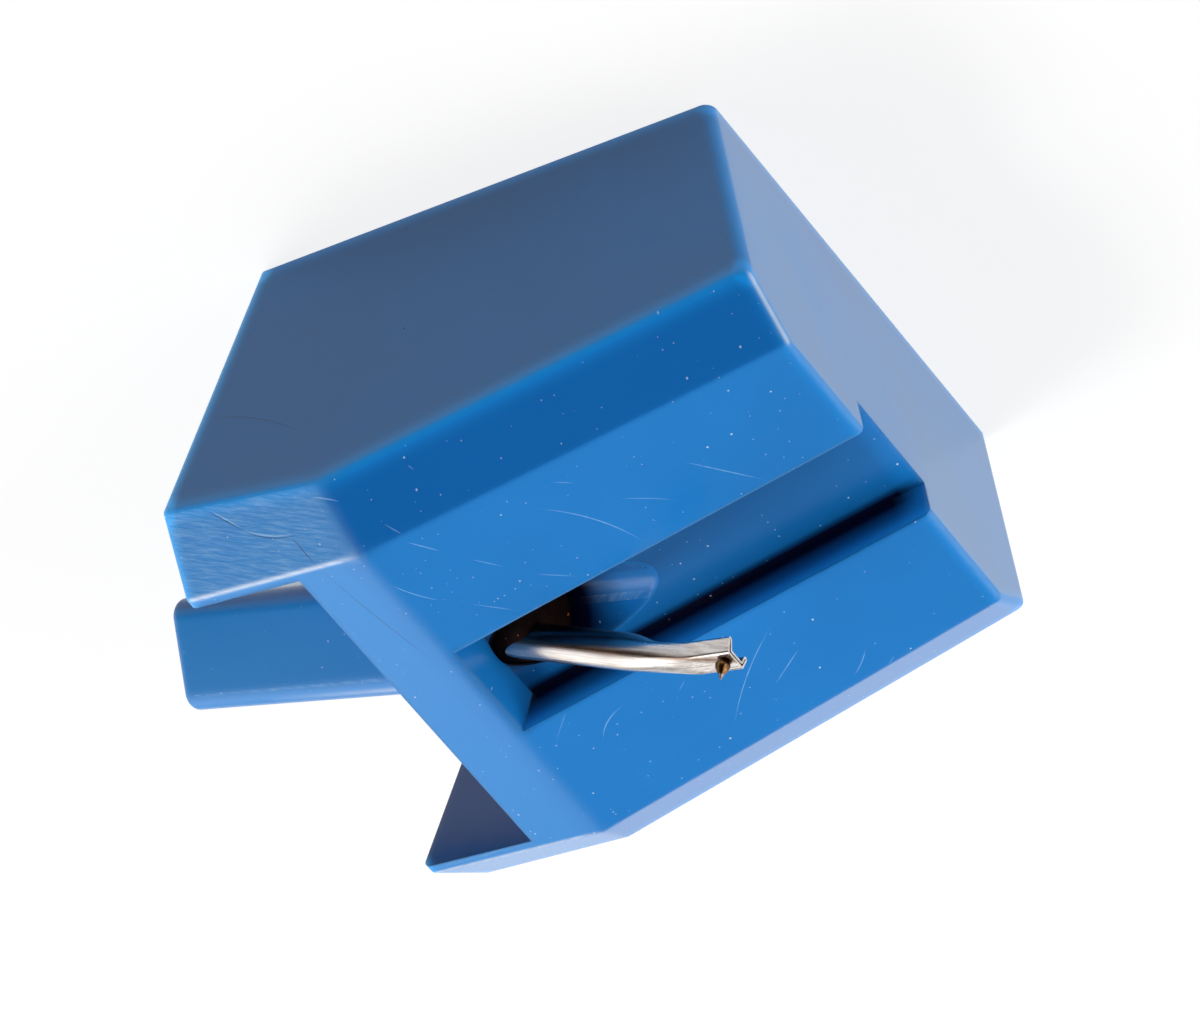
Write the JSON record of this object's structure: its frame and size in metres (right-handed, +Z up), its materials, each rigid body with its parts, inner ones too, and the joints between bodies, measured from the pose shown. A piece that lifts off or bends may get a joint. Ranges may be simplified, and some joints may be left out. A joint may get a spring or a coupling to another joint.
{
  "type": "turntable stylus",
  "caption": "Replacement phono stylus: blue moulded holder with a grooved record plate, side wings and an inclined square plug, and a sprung aluminium cantilever that carries the tip.",
  "frame": {"origin": "middle of the front wall's rim, on the symmetry plane, with the stylus lying on its open rim", "axes": "+X forwards, from the plug to the stylus tip; +Y to the left; +Z up, out of the rim towards the record side"},
  "size_m": [0.0177, 0.0134, 0.0103],
  "materials": {
    "blue_plastic": "glossy moulded plastic with fine scratches",
    "rubber": "matt dark brown damping rubber",
    "aluminium": "drawn tube with fine lengthwise streaks",
    "shank_metal": "dark ground metal",
    "diamond": "polished dark diamond",
    "magnet": "bare sintered magnet"
  },
  "bodies": {
    "holder": {"holder": "blue_plastic"},
    "bush": {"suspension_bush": "rubber"},
    "cantilever": {"cantilever_tube": "aluminium", "tip_shank": "shank_metal", "diamond_point": "diamond", "magnet": "magnet"}
  },
  "joints": [
    {"name": "lateral_swing", "type": "hinge", "parent": "holder", "child": "bush", "pos_m": [-0.0092, 0, 0.00582], "axis": [-0.3453, 0, 0.9385], "range_deg": [-4, 4], "stiffness_Nm_per_rad": 0.0028, "deforming": ["suspension_bush"]},
    {"name": "vertical_swing", "type": "hinge", "parent": "bush", "child": "cantilever", "pos_m": [-0.0092, 0, 0.00582], "axis": [0, 1, 0], "range_deg": [-2, 14], "stiffness_Nm_per_rad": 0.0028, "deforming": ["suspension_bush"]}
  ]
}
